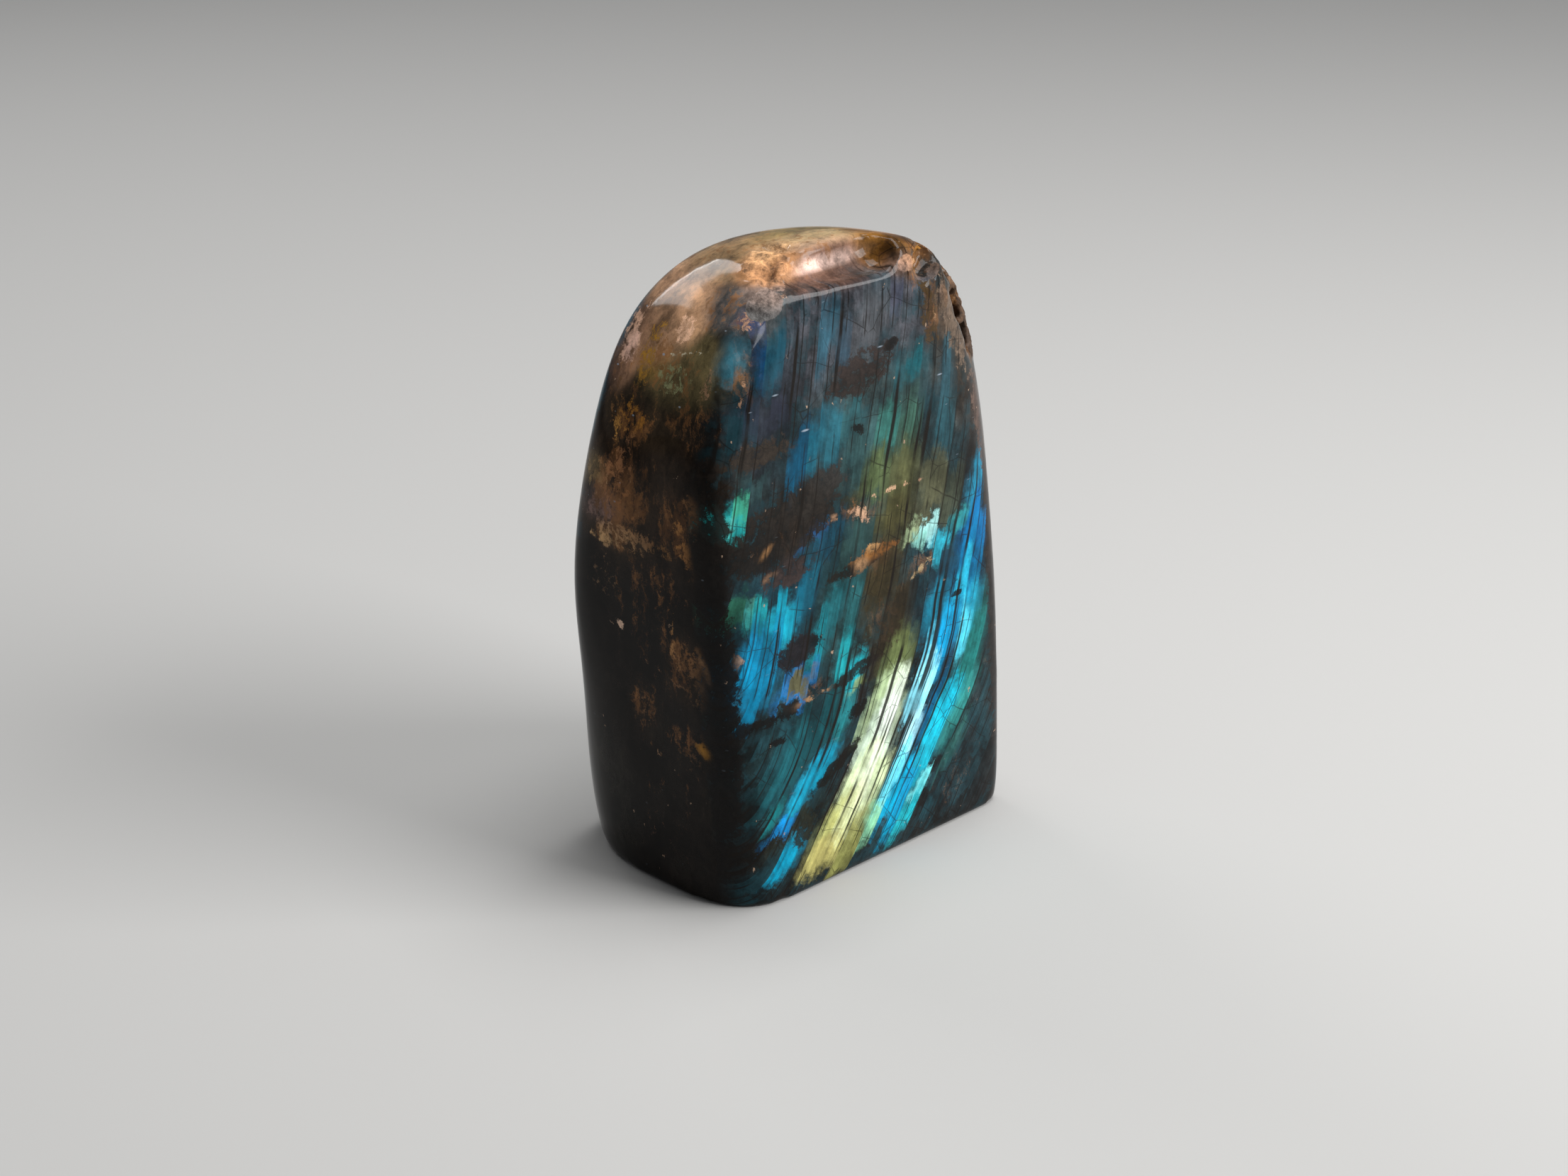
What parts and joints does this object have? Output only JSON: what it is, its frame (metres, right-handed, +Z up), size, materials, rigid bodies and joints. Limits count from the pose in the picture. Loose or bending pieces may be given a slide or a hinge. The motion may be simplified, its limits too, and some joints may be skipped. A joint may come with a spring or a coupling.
{
  "type": "polished labradorite",
  "caption": "Free-standing polished stone with a flat resting face, a broad front, rounded shoulders and a groove and broken notches at its top.",
  "frame": {"origin": "middle of the stone's outline seen from above, on the plane of its resting face", "axes": "+Z up; -Y out of the broad face that flashes blue; -X out of the dark narrow face"},
  "size_m": [0.0726, 0.0482, 0.1133],
  "materials": {
    "labradorite": "polished, with rough natural breaks near the top"
  },
  "bodies": {
    "root": {"labradorite_stone": "labradorite"}
  },
  "joints": []
}
